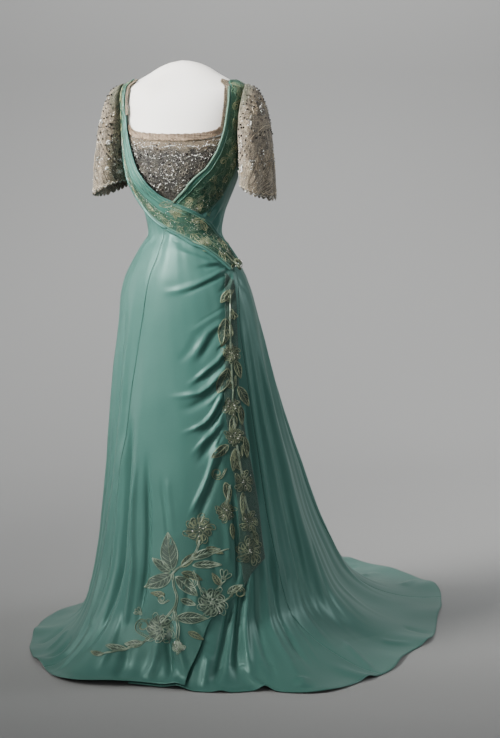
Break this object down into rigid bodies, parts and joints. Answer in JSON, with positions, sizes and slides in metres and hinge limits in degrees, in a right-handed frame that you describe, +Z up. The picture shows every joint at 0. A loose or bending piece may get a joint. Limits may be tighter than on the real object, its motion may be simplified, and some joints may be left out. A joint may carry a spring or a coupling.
{
  "type": "evening gown on dress form",
  "caption": "Floor-length trained evening gown in satin with a crossed embroidered bodice, beaded net yoke and short sleeves, shown on a limbless dress form on a pole stand.",
  "frame": {"origin": "centre of the underside of the stand's base, on the floor under the dress form", "axes": "+Z up, the wearer's front faces -Y, the wearer's left is +X, the train runs out to +Y"},
  "size_m": [0.9734, 1.454, 1.4065],
  "materials": {
    "satin": "smooth lustrous satin",
    "embroidered_net": "sheer ground with raised metallic embroidery",
    "beaded_net": "net with sequins and beads",
    "bead_knot": "knot of beads and metallic cord",
    "tulle_edging": "soft sheer tulle",
    "form_cover": "smooth matt jersey cover",
    "stand_metal": "satin paint"
  },
  "bodies": {
    "root": {"skirt_side_right": "satin", "skirt_side_left": "satin", "skirt_back_left": "satin", "skirt_back_right": "satin", "skirt_front_under": "satin", "bodice_front_left": "satin", "overskirt_front": "satin", "band_right_fold": "satin", "band_right_piping": "satin", "band_left_piping": "satin", "bodice_band_right": "embroidered_net", "bodice_band_left": "embroidered_net", "back_band_left": "embroidered_net", "back_band_right": "embroidered_net", "overskirt_edge_band": "embroidered_net", "yoke_front": "beaded_net", "yoke_back": "beaded_net", "sleeve_left": "beaded_net", "sleeve_right": "beaded_net", "waist_clasp": "bead_knot", "yoke_edging_front": "tulle_edging", "yoke_edging_back": "tulle_edging", "strap_edging_left": "tulle_edging", "strap_edging_right": "tulle_edging", "form_torso": "form_cover", "form_base": "stand_metal", "form_pole": "stand_metal"}
  },
  "joints": []
}
